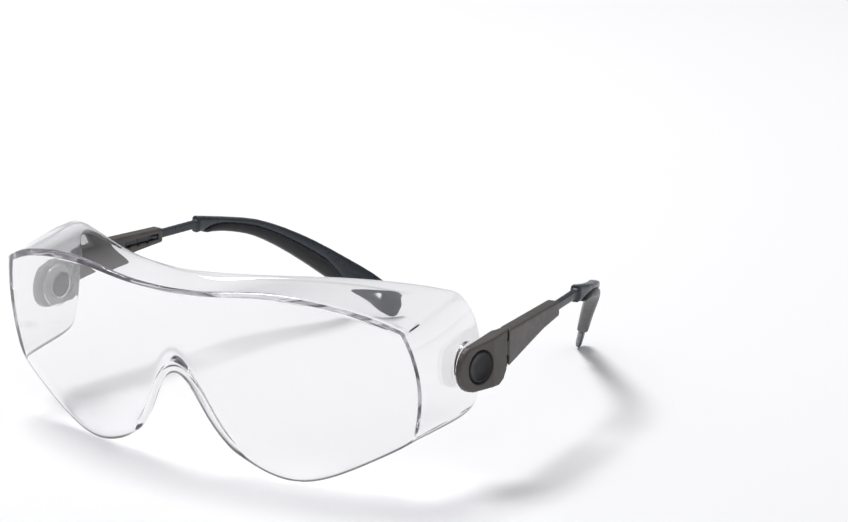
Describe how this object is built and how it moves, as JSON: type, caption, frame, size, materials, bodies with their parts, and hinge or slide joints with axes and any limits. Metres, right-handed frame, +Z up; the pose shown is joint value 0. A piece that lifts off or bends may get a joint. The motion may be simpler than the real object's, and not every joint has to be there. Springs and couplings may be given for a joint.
{
  "type": "safety glasses",
  "caption": "Over-the-glasses safety spectacles: one-piece clear wraparound lens with brow shelf and side shields, and temples that tilt, fold and telescope.",
  "frame": {"origin": "bottom centre of the whole object's box, with the temples open and fully extended", "axes": "+X to the wearer's left, +Y rearward towards the ear tips, +Z up"},
  "size_m": [0.158, 0.1742, 0.0585],
  "materials": {
    "clear_lens": "polished clear polycarbonate",
    "taupe_plastic": "satin moulded grey-brown plastic",
    "slate_plastic": "satin moulded slate plastic",
    "black_plastic": "semi-gloss black plastic",
    "mauve_plastic": "satin purple-grey plastic",
    "grey_acetal": "plain grey acetal",
    "soft_rubber": "matt soft-touch rubber",
    "steel": "plain bright steel"
  },
  "bodies": {
    "lens": {"visor_lens": "clear_lens", "left_pivot_axle": "steel", "left_ratchet_ring": "grey_acetal", "left_wave_spring": "steel", "left_inner_cap": "mauve_plastic", "right_pivot_axle": "steel", "right_ratchet_ring": "grey_acetal", "right_wave_spring": "steel", "right_inner_cap": "mauve_plastic"},
    "left_block": {"left_hinge_block": "taupe_plastic", "left_pivot_button": "black_plastic", "left_hinge_pin": "steel"},
    "left_arm": {"left_temple_arm": "taupe_plastic"},
    "left_ear": {"left_ear_stem": "slate_plastic", "left_ear_pad": "soft_rubber"},
    "right_block": {"right_hinge_block": "taupe_plastic", "right_pivot_button": "black_plastic", "right_hinge_pin": "steel"},
    "right_arm": {"right_temple_arm": "taupe_plastic"},
    "right_ear": {"right_ear_stem": "slate_plastic", "right_ear_pad": "soft_rubber"}
  },
  "joints": [
    {"name": "left_tilt", "type": "hinge", "parent": "lens", "child": "left_block", "pos_m": [0.0732, -0.0433, 0.0336], "axis": [0.9994, -0.0349, 0], "range_deg": [-10, 10]},
    {"name": "left_fold", "type": "hinge", "parent": "left_block", "child": "left_arm", "pos_m": [0.07692, -0.03132, 0.0336], "axis": [0, 0, 1], "range_deg": [0, 83]},
    {"name": "left_slide", "type": "slide", "parent": "left_arm", "child": "left_ear", "axis": [-0.1392, 0.9903, 0], "range_m": [-0.012, 0]},
    {"name": "right_tilt", "type": "hinge", "parent": "lens", "child": "right_block", "pos_m": [-0.0732, -0.0433, 0.0336], "axis": [0.9994, 0.0349, 0], "range_deg": [-10, 10]},
    {"name": "right_fold", "type": "hinge", "parent": "right_block", "child": "right_arm", "pos_m": [-0.07692, -0.03132, 0.0336], "axis": [0, 0, -1], "range_deg": [0, 74]},
    {"name": "right_slide", "type": "slide", "parent": "right_arm", "child": "right_ear", "axis": [0.1392, 0.9903, 0], "range_m": [-0.012, 0]}
  ]
}
